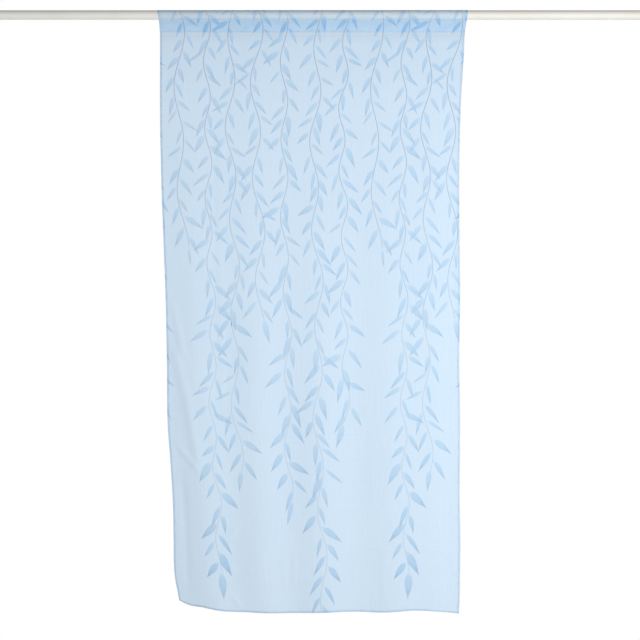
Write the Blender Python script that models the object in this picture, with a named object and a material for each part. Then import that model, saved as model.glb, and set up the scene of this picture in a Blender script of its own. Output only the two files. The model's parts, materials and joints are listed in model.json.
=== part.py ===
"""A rod pocket curtain on its rod: one sheer cloth panel that hangs almost flat from a straight round rod.

The panel is cut from one cloth. Its top is turned over to the back and sewn down, which leaves the pocket
that the rod runs through, and its two sides and its foot are turned in as narrow hems.

Metres. +X runs along the rod, to the right as seen from the room, +Y points away from the room and +Z up.
The origin is on the rod's axis, halfway along the rod. A drop is a distance below that axis.
"""

import math
from collections import namedtuple

import bmesh
import bpy
import numpy as np

SHARP_ANGLE = 40.0

# The rod
ROD_LENGTH = 2.200
ROD_RADIUS = 0.015
ROD_SIDES = 48
ROD_END_BEVEL = 0.001

# The cloth
CLOTH_WIDTH = 1.000
CLOTH_THICKNESS = 0.001
HEM_THICKNESS = 0.002
HEM_WIDTH = 0.008
HEM_STEP = 0.0015

# The pocket, which rests on the rod
ROD_GAP = 0.0003
SEAM_DROP = 0.0545
SEAM_BAND = 0.004
POCKET_ARC_STEP = 15.0
POCKET_TANGENT = 15.0
LEG_ROWS = 3

# How finely the cloth is divided between its hems, and how finely a row is measured
FREE_ROWS = 31
FREE_COLUMNS = 33
MEASURED_STEPS = 400
STEEPEST = 0.9
LONGEST_DROP = 1.935

# The panel's two side edges, from the top of the pocket down to the foot. The cloth narrows as it hangs,
# and its left edge strays further in than its right one.
Section = namedtuple("Section", "drop left right")
SECTIONS = [
    Section(drop=-0.016, left=-0.5265, right=0.4780),
    Section(drop=0.016, left=-0.5204, right=0.4740),
    Section(drop=0.054, left=-0.5174, right=0.4683),
    Section(drop=0.120, left=-0.5168, right=0.4653),
    Section(drop=0.275, left=-0.5172, right=0.4560),
    Section(drop=0.533, left=-0.5130, right=0.4506),
    Section(drop=0.760, left=-0.5048, right=0.4525),
    Section(drop=0.900, left=-0.4997, right=0.4539),
    Section(drop=1.115, left=-0.4955, right=0.4509),
    Section(drop=1.340, left=-0.4920, right=0.4537),
    Section(drop=1.437, left=-0.4847, right=0.4528),
    Section(drop=1.600, left=-0.4756, right=0.4526),
    Section(drop=1.696, left=-0.4739, right=0.4545),
    Section(drop=1.809, left=-0.4707, right=0.4531),
    Section(drop=1.890, left=-0.4562, right=0.4520),
    Section(drop=1.932, left=-0.4490, right=0.4500),
]

# The foot of the panel: how far down it reaches at each share of the width. Its left corner is drawn up.
FootPoint = namedtuple("FootPoint", "across drop")
FOOT = [
    FootPoint(across=0.000, drop=1.8930),
    FootPoint(across=0.025, drop=1.9050),
    FootPoint(across=0.083, drop=1.9140),
    FootPoint(across=0.144, drop=1.9245),
    FootPoint(across=0.252, drop=1.9300),
    FootPoint(across=0.400, drop=1.9325),
    FootPoint(across=0.504, drop=1.9305),
    FootPoint(across=0.613, drop=1.9280),
    FootPoint(across=0.713, drop=1.9300),
    FootPoint(across=0.865, drop=1.9235),
    FootPoint(across=0.937, drop=1.9290),
    FootPoint(across=1.000, drop=1.9360),
]

# The soft folds, from the left edge to the right one: where each crest or trough starts at the seam and
# ends at the foot, as shares of the width, how far it stands out towards the room, and the drop at which
# it has its full depth. Both edges turn back, away from the room.
Fold = namedtuple("Fold", "at_seam at_foot depth full_drop")
FOLDS = [
    Fold(at_seam=0.000, at_foot=0.000, depth=-0.014, full_drop=1.900),
    Fold(at_seam=0.070, at_foot=0.130, depth=0.005, full_drop=1.900),
    Fold(at_seam=0.185, at_foot=0.215, depth=-0.003, full_drop=1.450),
    Fold(at_seam=0.300, at_foot=0.305, depth=0.006, full_drop=1.500),
    Fold(at_seam=0.425, at_foot=0.405, depth=-0.006, full_drop=1.700),
    Fold(at_seam=0.535, at_foot=0.515, depth=0.006, full_drop=1.600),
    Fold(at_seam=0.650, at_foot=0.640, depth=-0.006, full_drop=1.500),
    Fold(at_seam=0.760, at_foot=0.775, depth=0.007, full_drop=1.600),
    Fold(at_seam=0.880, at_foot=0.890, depth=0.004, full_drop=1.300),
    Fold(at_seam=1.000, at_foot=1.000, depth=-0.016, full_drop=0.900),
]


def clear_scene():
    for old in list(bpy.data.objects):
        bpy.data.objects.remove(old, do_unlink=True)


def material(name, colour, roughness, metallic=0.0):
    made = bpy.data.materials.new(name)
    made.use_nodes = True
    shader = made.node_tree.nodes["Principled BSDF"]
    shader.inputs["Base Color"].default_value = (*colour, 1.0)
    shader.inputs["Roughness"].default_value = roughness
    shader.inputs["Metallic"].default_value = metallic
    made.diffuse_color = (*colour, 1.0)
    return made


def add_object(name, bm, finish):
    bmesh.ops.recalc_face_normals(bm, faces=bm.faces)
    mesh = bpy.data.meshes.new(name)
    bm.to_mesh(mesh)
    bm.free()
    mesh.materials.append(finish)
    mesh.shade_smooth()
    mesh.set_sharp_from_angle(angle=math.radians(SHARP_ANGLE))
    made = bpy.data.objects.new(name, mesh)
    bpy.context.scene.collection.objects.link(made)
    return made


def smooth_curve(known_at, known, at):
    """A smooth curve through the rows of a table, read at one or more places."""
    known_at = np.array(known_at)
    known = np.array(known)
    slopes = np.gradient(known, known_at)
    i = np.clip(np.searchsorted(known_at, at) - 1, 0, len(known_at) - 2)
    span = known_at[i + 1] - known_at[i]
    t = np.clip((at - known_at[i]) / span, 0.0, 1.0)
    start = (1 + 2 * t) * (1 - t) ** 2 * known[i] + t * (1 - t) ** 2 * span * slopes[i]
    end = t**2 * (3 - 2 * t) * known[i + 1] - t**2 * (1 - t) * span * slopes[i + 1]
    return start + end


def eased(t):
    """0 to 1 with a soft start and a soft end."""
    t = np.clip(t, 0.0, 1.0)
    return t * t * (3 - 2 * t)


def side_edges(drop):
    drops = [s.drop for s in SECTIONS]
    left = smooth_curve(drops, [s.left for s in SECTIONS], drop)
    right = smooth_curve(drops, [s.right for s in SECTIONS], drop)
    return left, right


def foot_drop(across):
    return smooth_curve([f.across for f in FOOT], [f.drop for f in FOOT], across)


def fold_depth(across, drop):
    """How far the cloth stands out towards the room, from crest to trough and back in soft waves."""
    down = min(max(drop / LONGEST_DROP, 0.0), 1.0)
    places = np.array([f.at_seam + (f.at_foot - f.at_seam) * down for f in FOLDS])
    depths = np.array([f.depth * eased(drop / f.full_drop) for f in FOLDS])
    i = np.clip(np.searchsorted(places, across) - 1, 0, len(places) - 2)
    t = eased((across - places[i]) / (places[i + 1] - places[i]))
    return depths[i] + (depths[i + 1] - depths[i]) * t


def across_row(across, drop):
    """X and Y along one level row of the cloth. A stretch that runs in depth takes up less of the width."""
    fine = np.linspace(0.0, 1.0, MEASURED_STEPS + 1)
    depth = fold_depth(fine, drop)
    slope = np.diff(depth) / (np.diff(fine) * CLOTH_WIDTH)
    advance = np.sqrt(1.0 - np.clip(slope, -STEEPEST, STEEPEST) ** 2)
    reached = np.concatenate([[0.0], np.cumsum(advance)])
    share = np.interp(across, fine, reached / reached[-1])
    left, right = side_edges(drop)
    return left + (right - left) * share, -fold_depth(across, drop)


def column_places():
    """Shares of the width, with closer columns where the side hems end."""
    hem = HEM_WIDTH / CLOTH_WIDTH
    step = HEM_STEP / CLOTH_WIDTH
    inner = np.linspace(hem + step, 1.0 - hem - step, FREE_COLUMNS)
    return np.concatenate([[0.0, hem], inner, [1.0 - hem, 1.0]])


def hanging_rows(across):
    """The middle surface of the cloth below the pocket, row by row, and its thickness there."""
    foot = foot_drop(across)
    top = np.full(len(across), SEAM_DROP + SEAM_BAND)
    hem_top = foot - HEM_WIDTH - HEM_STEP
    shares = np.linspace(0.0, 1.0, FREE_ROWS + 2)
    levels = [top + (hem_top - top) * share for share in shares]
    levels += [foot - HEM_WIDTH, foot]
    points = np.zeros((len(levels), len(across), 3))
    for r, drops in enumerate(levels):
        for c, drop in enumerate(drops):
            x, y = across_row(across[c], drop)
            points[r, c] = (x, y, -drop)
    thickness = np.full((len(levels), len(across)), CLOTH_THICKNESS)
    thickness[-2:, :] = HEM_THICKNESS
    thickness[:, :2] = HEM_THICKNESS
    thickness[:, -2:] = HEM_THICKNESS
    return points, thickness


def sheet_normals(points):
    """Unit normals of a grid of points, pointing towards the room."""
    along = np.gradient(points, axis=1)
    down = np.gradient(points, axis=0)
    normals = np.cross(down, along)
    normals /= np.linalg.norm(normals, axis=2, keepdims=True)
    return np.where(normals[..., 1:2] > 0, -normals, normals)


def pocket_profile():
    """Places round the pocket's inside, from the seam up the front, over the rod and down the back.

    Each is y, drop and the outward direction, which is where the cloth's outer face lies.
    """
    inner_radius = (ROD_RADIUS + ROD_GAP) / math.cos(math.radians(POCKET_ARC_STEP / 2))
    steps = round((180 + 2 * POCKET_TANGENT) / POCKET_ARC_STEP)
    arc = []
    for i in range(steps + 1):
        angle = math.radians(180 + POCKET_TANGENT - i * POCKET_ARC_STEP)
        outward = (math.cos(angle), -math.sin(angle))
        arc.append((outward[0] * inner_radius, outward[1] * inner_radius, outward))
    front = []
    for i in range(1, LEG_ROWS + 1):
        t = i / (LEG_ROWS + 1)
        y0, drop0, outward = arc[0]
        front.append((y0 * t, SEAM_DROP + (drop0 - SEAM_DROP) * t, outward))
    back = [(-y, drop, (-outward[0], outward[1])) for y, drop, outward in reversed(front)]
    return front + arc + back


def pocket_rows(across):
    """The inner and outer faces of the pocket, row by row round the rod."""
    inner, outer = [], []
    for y, drop, outward in pocket_profile():
        sway = max(drop, 0.0) / SEAM_DROP
        inside, outside = [], []
        for share in across:
            x, fold = across_row(share, drop)
            shifted = y + fold * sway**2
            inside.append((x, shifted, -drop))
            outside.append((x, shifted + outward[0] * CLOTH_THICKNESS, -drop - outward[1] * CLOTH_THICKNESS))
        inner.append(inside)
        outer.append(outside)
    return inner, outer


def seam_rows(across):
    """The seam: the pocket's inner bottom line, and the cloth's front and back faces beside it."""
    inside, front, back = [], [], []
    for share in across:
        x, fold = across_row(share, SEAM_DROP)
        inside.append((x, fold, -SEAM_DROP))
        front.append((x, fold - CLOTH_THICKNESS, -SEAM_DROP))
        back.append((x, fold + CLOTH_THICKNESS, -SEAM_DROP))
    return inside, front, back


def add_rows(bm, rows):
    return [[bm.verts.new(p) for p in row] for row in rows]


def join_rows(bm, rows):
    """Faces between each row of points and the next."""
    for upper, lower in zip(rows, rows[1:]):
        for c in range(len(upper) - 1):
            bm.faces.new((upper[c], upper[c + 1], lower[c + 1], lower[c]))


def close_side(bm, one, other):
    """The edge of the cloth between two lines of points that may share their ends."""
    for i in range(len(one) - 1):
        corners = []
        for v in (one[i], one[i + 1], other[i + 1], other[i]):
            if v not in corners:
                corners.append(v)
        bm.faces.new(corners)


def build_curtain():
    """The panel as one closed sheet, a strip round the rod that becomes a single layer below the seam."""
    bm = bmesh.new()
    across = column_places()
    points, thickness = hanging_rows(across)
    offset = sheet_normals(points) * thickness[..., None] / 2
    inner, outer = pocket_rows(across)
    seam_inside, seam_front, seam_back = (add_rows(bm, [row])[0] for row in seam_rows(across))
    front = add_rows(bm, points + offset)
    back = add_rows(bm, points - offset)
    inner = add_rows(bm, inner)
    outer = add_rows(bm, outer)
    join_rows(bm, list(reversed(front)) + [seam_front] + outer + [seam_back] + back)
    join_rows(bm, [seam_inside] + inner + [seam_inside])
    join_rows(bm, [front[-1], back[-1]])
    for c in (0, -1):
        close_side(bm, [row[c] for row in [seam_front] + outer + [seam_back]],
                   [row[c] for row in [seam_inside] + inner + [seam_inside]])
        close_side(bm, [row[c] for row in [seam_front] + front], [row[c] for row in [seam_back] + back])
        bm.faces.new((seam_front[c], seam_inside[c], seam_back[c]))
    return add_object("curtain_panel", bm, material("sheer_voile", (0.47, 0.66, 0.86), 0.85))


def build_rod():
    """A plain round rod with its two ends cut square and their sharp edge taken off."""
    bm = bmesh.new()
    bmesh.ops.create_cone(
        bm,
        cap_ends=True,
        segments=ROD_SIDES,
        radius1=ROD_RADIUS,
        radius2=ROD_RADIUS,
        depth=ROD_LENGTH,
    )
    rims = [e for e in bm.edges if abs(e.verts[0].co.z - e.verts[1].co.z) < ROD_LENGTH / 2]
    bmesh.ops.bevel(bm, geom=rims, offset=ROD_END_BEVEL, segments=1, affect="EDGES")
    rod = add_object("rod", bm, material("white_enamel", (0.78, 0.78, 0.75), 0.3))
    rod.rotation_euler = (0.0, math.pi / 2, 0.0)
    return rod


clear_scene()
build_rod()
build_curtain()
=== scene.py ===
"""A rod pocket curtain on its rod: one panel of sheer voile printed with hanging leafy stems.

Metres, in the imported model's frame. +X runs along the rod, to the right as seen from the room, +Y points
away from the room and +Z up, with the origin on the rod's axis. A drop is a distance below that axis.
"""

import json
import math
from collections import namedtuple

import bmesh
import bpy
import numpy as np
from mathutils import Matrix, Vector, noise
from mathutils.geometry import delaunay_2d_cdt

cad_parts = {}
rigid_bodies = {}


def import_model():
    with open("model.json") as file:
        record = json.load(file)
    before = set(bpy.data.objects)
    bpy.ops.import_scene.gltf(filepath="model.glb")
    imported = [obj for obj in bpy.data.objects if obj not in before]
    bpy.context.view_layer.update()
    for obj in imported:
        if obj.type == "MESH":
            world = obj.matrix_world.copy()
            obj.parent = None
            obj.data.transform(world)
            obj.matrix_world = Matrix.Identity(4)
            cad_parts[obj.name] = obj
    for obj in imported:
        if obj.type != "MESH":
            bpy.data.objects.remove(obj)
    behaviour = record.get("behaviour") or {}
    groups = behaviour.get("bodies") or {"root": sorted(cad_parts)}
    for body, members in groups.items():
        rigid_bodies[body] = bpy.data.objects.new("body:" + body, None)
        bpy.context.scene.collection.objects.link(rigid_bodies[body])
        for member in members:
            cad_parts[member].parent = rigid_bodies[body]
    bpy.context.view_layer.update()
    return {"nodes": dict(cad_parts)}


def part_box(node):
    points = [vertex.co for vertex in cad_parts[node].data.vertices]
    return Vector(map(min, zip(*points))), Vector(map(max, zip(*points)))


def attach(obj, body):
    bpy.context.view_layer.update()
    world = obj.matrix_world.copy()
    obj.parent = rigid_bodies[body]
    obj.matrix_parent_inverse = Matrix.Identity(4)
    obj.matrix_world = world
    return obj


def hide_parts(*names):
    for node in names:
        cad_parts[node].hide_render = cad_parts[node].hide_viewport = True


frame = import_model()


# The rod
# A straight round steel tube, 30 mm thick, sprayed with warm white enamel that dries to a satin gloss.
# It runs through the curtain's pocket and stays bare at both ends.

rod_low, rod_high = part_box("rod")
ROD_RADIUS = (rod_high.z - rod_low.z) / 2
ROD_END = rod_high.x

ENAMEL = "E6E5DF"
ENAMEL_AGED = "E0DED5"
ENAMEL_SPECK = "A9A59B"
BARE_STEEL = "8F9090"
AGED_PATCH = 0.180
SPRAY_RIPPLE = 0.0018
SPRAY_DEPTH = 0.00002
SPECK_SPACING = 0.060
SPECK_SIZE = 0.0012
SPECK_STRENGTH = 0.7
WORN_RIM = 0.0012
BARE_RIM = 0.00036
SATIN_ROUGHNESS = (0.50, 0.62)


def linear(colour):
    """The linear values of an sRGB hex colour."""
    shares = [int(colour[i:i + 2], 16) / 255 for i in (0, 2, 4)]
    return [c / 12.92 if c <= 0.04045 else ((c + 0.055) / 1.055) ** 2.4 for c in shares] + [1.0]


def add_node(tree, kind, inputs=None, **settings):
    """A node with its settings. An input is given a value, a hex colour, or the node or output linked to it.

    Of a Map Range, inputs 0 to 4 are the value, the range it comes from and the range it goes to, which are
    both 0 to 1 where none is given. Of a Mix of colours, 0 is the share and 6 and 7 are the colours.
    """
    made = tree.nodes.new(kind)
    for name, value in settings.items():
        setattr(made, name, value)
    for name, value in (inputs or {}).items():
        socket = made.inputs[name]
        if isinstance(value, bpy.types.Node):
            value = next(output for output in value.outputs if output.enabled)
        if isinstance(value, bpy.types.NodeSocket):
            tree.links.new(value, socket)
        elif socket.type == "RGBA":
            socket.default_value = linear(value)
        else:
            socket.default_value = value
    return made


def new_finish(name):
    finish = bpy.data.materials.new(name)
    finish.use_nodes = True
    finish.node_tree.nodes.clear()
    return finish


def satin_enamel():
    """Sprayed enamel on steel: an even warm white with a soft gloss, a faint ripple from the spray, a few
    specks, and bare metal where the tube's rims have rubbed."""
    finish = new_finish("satin_enamel_on_steel")
    tree = finish.node_tree
    place = add_node(tree, "ShaderNodeTexCoord").outputs["Object"]
    patches = add_node(tree, "ShaderNodeTexNoise", {"Vector": place, "Scale": 1 / AGED_PATCH, "Detail": 3.0})
    ripple = add_node(tree, "ShaderNodeTexNoise", {"Vector": place, "Scale": 1 / SPRAY_RIPPLE})
    aged = add_node(tree, "ShaderNodeMapRange", {0: patches, 1: 0.45, 2: 0.75})
    near_speck = add_node(tree, "ShaderNodeTexVoronoi", {"Vector": place, "Scale": 1 / SPECK_SPACING})
    speck = SPECK_SIZE / SPECK_SPACING
    specks = add_node(tree, "ShaderNodeMapRange", {0: near_speck, 1: speck, 2: speck / 2, 4: SPECK_STRENGTH})
    along = add_node(tree, "ShaderNodeSeparateXYZ", {"Vector": place}).outputs["X"]
    reach = add_node(tree, "ShaderNodeMath", {0: along}, operation="ABSOLUTE")
    rubbed = add_node(tree, "ShaderNodeMapRange", {0: reach, 1: ROD_END - WORN_RIM, 2: ROD_END - BARE_RIM})
    colour = ENAMEL
    for share, over in ((aged, ENAMEL_AGED), (specks, ENAMEL_SPECK), (rubbed, BARE_STEEL)):
        colour = add_node(tree, "ShaderNodeMix", {0: share, 6: colour, 7: over}, data_type="RGBA")
    shader = add_node(tree, "ShaderNodeBsdfPrincipled", {
        "Base Color": colour,
        "Metallic": rubbed,
        "Roughness": add_node(tree, "ShaderNodeMapRange", {
            0: patches, 3: SATIN_ROUGHNESS[0], 4: SATIN_ROUGHNESS[1],
        }),
        "Normal": add_node(tree, "ShaderNodeBump", {
            "Height": ripple, "Distance": SPRAY_DEPTH, "Strength": 0.5,
        }),
        "Coat Weight": 0.05,
        "Coat Roughness": 0.30,
    })
    add_node(tree, "ShaderNodeOutputMaterial", {"Surface": shader})
    return finish


enamel = satin_enamel()
rod = frame["nodes"]["rod"]
rod.data.materials.clear()
rod.data.materials.append(enamel)


# The curtain's drape
# One length of sheer polyester voile, cut a metre wide, which hangs almost flat from the rod. It narrows
# as it hangs, both its sides turn back, and its lower left corner is drawn up.

# The cloth's finished width, the drop of the pocket's seam, the cloth's length from there to the foot, and
# the drops between which its drape is worked out
CLOTH_WIDTH = 1.000
SEAM_DROP = 0.0545
SEAM_TO_FOOT = 1.876
TOP_DROP = -0.016
LONGEST_DROP = 1.940

# The panel's two side edges, from the top of the pocket down to the foot
Section = namedtuple("Section", "drop left right")
SECTIONS = [
    Section(drop=-0.016, left=-0.5265, right=0.4780),
    Section(drop=0.016, left=-0.5204, right=0.4740),
    Section(drop=0.054, left=-0.5174, right=0.4683),
    Section(drop=0.120, left=-0.5168, right=0.4653),
    Section(drop=0.275, left=-0.5172, right=0.4560),
    Section(drop=0.533, left=-0.5130, right=0.4506),
    Section(drop=0.760, left=-0.5048, right=0.4525),
    Section(drop=0.900, left=-0.4997, right=0.4539),
    Section(drop=1.115, left=-0.4955, right=0.4509),
    Section(drop=1.340, left=-0.4920, right=0.4537),
    Section(drop=1.437, left=-0.4847, right=0.4528),
    Section(drop=1.600, left=-0.4756, right=0.4526),
    Section(drop=1.696, left=-0.4739, right=0.4545),
    Section(drop=1.809, left=-0.4707, right=0.4531),
    Section(drop=1.890, left=-0.4562, right=0.4520),
    Section(drop=1.932, left=-0.4490, right=0.4500),
]

# How far down the foot reaches at each share of the width
FootPoint = namedtuple("FootPoint", "across drop")
FOOT = [
    FootPoint(across=0.000, drop=1.8930),
    FootPoint(across=0.025, drop=1.9050),
    FootPoint(across=0.083, drop=1.9140),
    FootPoint(across=0.144, drop=1.9245),
    FootPoint(across=0.252, drop=1.9300),
    FootPoint(across=0.400, drop=1.9325),
    FootPoint(across=0.504, drop=1.9305),
    FootPoint(across=0.613, drop=1.9280),
    FootPoint(across=0.713, drop=1.9300),
    FootPoint(across=0.865, drop=1.9235),
    FootPoint(across=0.937, drop=1.9290),
    FootPoint(across=1.000, drop=1.9360),
]

# The soft folds: the share of the width where each crest or trough starts at the seam and ends at the
# foot, how far it stands out towards the room, and the drop at which it has its full depth. The cloth
# never runs more steeply into the depth than STEEPEST.
Fold = namedtuple("Fold", "at_seam at_foot depth full_drop")
FOLDS = [
    Fold(at_seam=0.000, at_foot=0.000, depth=-0.014, full_drop=1.900),
    Fold(at_seam=0.070, at_foot=0.130, depth=0.005, full_drop=1.900),
    Fold(at_seam=0.185, at_foot=0.215, depth=-0.003, full_drop=1.450),
    Fold(at_seam=0.300, at_foot=0.305, depth=0.006, full_drop=1.500),
    Fold(at_seam=0.425, at_foot=0.405, depth=-0.006, full_drop=1.700),
    Fold(at_seam=0.535, at_foot=0.515, depth=0.006, full_drop=1.600),
    Fold(at_seam=0.650, at_foot=0.640, depth=-0.006, full_drop=1.500),
    Fold(at_seam=0.760, at_foot=0.775, depth=0.007, full_drop=1.600),
    Fold(at_seam=0.880, at_foot=0.890, depth=0.004, full_drop=1.300),
    Fold(at_seam=1.000, at_foot=1.000, depth=-0.016, full_drop=0.900),
]
STEEPEST = 0.9

# The marks that folding and handling left: the line of each by its X and drop, how far it stands out
# towards the room, or back where that is negative, and how wide it is on either side of its line
Crease = namedtuple("Crease", "line height width")
CREASES = [
    Crease(line=[(-0.475, 1.066), (-0.430, 1.244), (-0.388, 1.470)], height=0.0046, width=0.015),
    Crease(line=[(-0.478, 0.921), (-0.439, 1.114)], height=0.0034, width=0.011),
    Crease(line=[(-0.468, 1.379), (-0.388, 1.479)], height=0.0040, width=0.009),
    Crease(line=[(-0.445, 1.500), (-0.425, 1.850)], height=-0.0028, width=0.011),
    Crease(line=[(-0.262, 1.641), (-0.297, 1.705)], height=0.0024, width=0.008),
    Crease(line=[(-0.113, 1.728), (-0.119, 1.790), (-0.113, 1.848)], height=0.0022, width=0.006),
    Crease(line=[(-0.087, 1.728), (-0.081, 1.790), (-0.087, 1.848)], height=0.0022, width=0.006),
    Crease(line=[(-0.286, 1.873), (-0.253, 1.919)], height=0.0026, width=0.007),
    Crease(line=[(0.162, 1.725), (0.413, 1.728), (0.433, 1.809)], height=0.0030, width=0.006),
    Crease(line=[(-0.475, 1.625), (-0.442, 1.657)], height=0.0014, width=0.007),
    Crease(line=[(-0.371, 1.786), (-0.258, 1.786)], height=0.0010, width=0.007),
    Crease(line=[(0.010, 1.589), (0.255, 1.592)], height=0.0011, width=0.008),
    Crease(line=[(0.168, 1.405), (0.168, 1.557)], height=0.0012, width=0.009),
    Crease(line=[(0.207, 1.728), (0.207, 1.915)], height=0.0014, width=0.010),
    Crease(line=[(0.388, 1.000), (0.392, 1.880)], height=0.0018, width=0.013),
    Crease(line=[(0.413, 1.000), (0.413, 1.880)], height=-0.0015, width=0.010),
    Crease(line=[(-0.345, 0.320), (-0.340, 0.800), (-0.330, 1.300)], height=-0.0012, width=0.012),
    Crease(line=[(-0.323, 0.400), (-0.318, 1.300)], height=0.0010, width=0.012),
    Crease(line=[(0.018, 0.016), (0.018, 0.113)], height=0.0014, width=0.005),
    Crease(line=[(-0.423, 0.536), (-0.381, 0.536)], height=0.0010, width=0.006),
]

# How far from its ends a crease has its full height, and the share of it that is left at its ends
CREASE_END = 0.030
CREASE_AT_END = 0.25

# The cloth's own liveliness: a slow crumple, longer than it is wide, which starts a share of the way down to
# the seam, and puckers where a seam has drawn it in, but none behind the rod
CRUMPLE_SIZE = 0.110
CRUMPLE_STRETCH = 0.6
CRUMPLE_START = 0.3
CRUMPLE_DEPTH = 0.0009
PUCKER_DEPTH = 0.0007
PUCKER_REACH = 0.012
PUCKER_WAVES = (0.019, 0.031, 0.052)
POCKET_BACK = 0.002

# How finely the drape is worked out before the cloth's points are read from it
DRAPE_ROWS = 320
DRAPE_COLUMNS = 400


def smooth_curve(known_at, known, at):
    """A smooth curve through the rows of a table, read at one or more places."""
    known_at = np.array(known_at)
    known = np.array(known)
    slopes = np.gradient(known, known_at)
    i = np.clip(np.searchsorted(known_at, at) - 1, 0, len(known_at) - 2)
    span = known_at[i + 1] - known_at[i]
    t = np.clip((at - known_at[i]) / span, 0.0, 1.0)
    start = (1 + 2 * t) * (1 - t) ** 2 * known[i] + t * (1 - t) ** 2 * span * slopes[i]
    end = t**2 * (3 - 2 * t) * known[i + 1] - t**2 * (1 - t) * span * slopes[i + 1]
    return start + end


def eased(t):
    """0 to 1 with a soft start and a soft end."""
    t = np.clip(t, 0.0, 1.0)
    return t * t * (3 - 2 * t)


def foot_drop(across):
    return smooth_curve([f.across for f in FOOT], [f.drop for f in FOOT], across)


def fold_depth(across, drop):
    """How far the cloth stands out towards the room along one level row."""
    down = min(max(drop / LONGEST_DROP, 0.0), 1.0)
    places = np.array([f.at_seam + (f.at_foot - f.at_seam) * down for f in FOLDS])
    depths = np.array([f.depth * eased(drop / f.full_drop) for f in FOLDS])
    i = np.clip(np.searchsorted(places, across) - 1, 0, len(places) - 2)
    t = eased((across - places[i]) / (places[i + 1] - places[i]))
    return depths[i] + (depths[i + 1] - depths[i]) * t


def drape_grids():
    """X and Y of the hung cloth, a row for each drop. A stretch that runs in depth takes up less width."""
    across = np.linspace(0.0, 1.0, DRAPE_COLUMNS + 1)
    x_rows, y_rows = [], []
    for drop in np.linspace(TOP_DROP, LONGEST_DROP, DRAPE_ROWS + 1):
        depth = fold_depth(across, drop)
        slope = np.diff(depth) / (np.diff(across) * CLOTH_WIDTH)
        advance = np.sqrt(1.0 - np.clip(slope, -STEEPEST, STEEPEST) ** 2)
        reached = np.concatenate([[0.0], np.cumsum(advance)])
        left = smooth_curve([s.drop for s in SECTIONS], [s.left for s in SECTIONS], drop)
        right = smooth_curve([s.drop for s in SECTIONS], [s.right for s in SECTIONS], drop)
        x_rows.append(left + (right - left) * reached / reached[-1])
        y_rows.append(-depth)
    return np.array(x_rows), np.array(y_rows)


DRAPE_X, DRAPE_Y = drape_grids()


def drape_at(grid, across, drop):
    """One of the drape's grids, read between its rows and columns."""
    r = (drop - TOP_DROP) / (LONGEST_DROP - TOP_DROP) * DRAPE_ROWS
    r = np.clip(r, 0, DRAPE_ROWS - 1e-6)
    c = np.clip(across * DRAPE_COLUMNS, 0, DRAPE_COLUMNS - 1e-6)
    row, column = r.astype(int), c.astype(int)
    r, c = r - row, c - column
    upper = grid[row, column] * (1 - c) + grid[row, column + 1] * c
    lower = grid[row + 1, column] * (1 - c) + grid[row + 1, column + 1] * c
    return upper * (1 - r) + lower * r


def crease_relief(x, drop):
    """How far the creases raise the cloth towards the room at each place."""
    relief = np.zeros(len(x))
    for crease in CREASES:
        nearest = np.full(len(x), np.inf)
        inside = np.zeros(len(x))
        length = sum(math.dist(a, b) for a, b in zip(crease.line, crease.line[1:]))
        done = 0.0
        for (x0, d0), (x1, d1) in zip(crease.line, crease.line[1:]):
            run = math.dist((x0, d0), (x1, d1))
            t = np.clip(((x - x0) * (x1 - x0) + (drop - d0) * (d1 - d0)) / run**2, 0.0, 1.0)
            away = np.hypot(x - x0 - t * (x1 - x0), drop - d0 - t * (d1 - d0))
            along = done + t * run
            closer = away < nearest
            nearest = np.where(closer, away, nearest)
            inside = np.where(closer, np.minimum(along, length - along), inside)
            done += run
        end = min(CREASE_END, length / 3)
        height = crease.height * (CREASE_AT_END + (1 - CREASE_AT_END) * eased(inside / end))
        relief += height * np.exp(-(nearest / crease.width) ** 2)
    return relief


def waves(place, seed):
    """An uneven ripple along a seam, between -1 and 1."""
    total = sum(np.sin(2 * math.pi * place / w + seed * (k + 1)) for k, w in enumerate(PUCKER_WAVES))
    return (total - np.mean(total)) / len(PUCKER_WAVES)


# The curtain's pocket and hems
# The top is turned over to the back and sewn down, trimmed close to its seam, and the rod runs through.
# The sides and the foot are turned in twice, a narrower turn tucked inside each hem: 7 mm at the sides
# and 6 mm at the foot.

SIDE_HEM = 0.007
SIDE_TUCK = 0.003
FOOT_HEM = 0.006
FOOT_TUCK = 0.004
LAYER_GAP = 0.0002
FOLD_ROUND = 0.002
ROD_CLEARANCE = 0.0006
POCKET_RADIUS = ROD_RADIUS + ROD_CLEARANCE
POCKET_TAIL = 0.002

lean = math.asin(POCKET_RADIUS / SEAM_DROP)
pocket_leg = math.sqrt(SEAM_DROP**2 - POCKET_RADIUS**2)
pocket_arc = POCKET_RADIUS * (math.pi + 2 * lean)
pocket_round = 2 * pocket_leg + pocket_arc

Place = namedtuple("Place", "x y z")


def turned_in(inside, hem):
    """How far inside its finished edge a point of the cloth ends up. Past the edge it lies in the hem."""
    return np.where(inside >= 0, inside, np.where(inside >= -hem, -inside, 2 * hem + inside))


def pocket_at(round_rod):
    """Y, drop and the outward direction at a length round the pocket, from the seam up the front."""
    angle = math.pi + lean - np.clip(round_rod - pocket_leg, 0.0, pocket_arc) / POCKET_RADIUS
    out_y, out_drop = np.cos(angle), -np.sin(angle)
    up_front = np.clip(round_rod / pocket_leg, 0.0, 1.0)
    down_back = np.clip((round_rod - pocket_leg - pocket_arc) / pocket_leg, 0.0, 1.0)
    leg = np.minimum(up_front, 1 - down_back)
    y = POCKET_RADIUS * out_y * leg
    drop = SEAM_DROP + (POCKET_RADIUS * out_drop - SEAM_DROP) * leg
    return y, drop, out_y, out_drop


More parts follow.
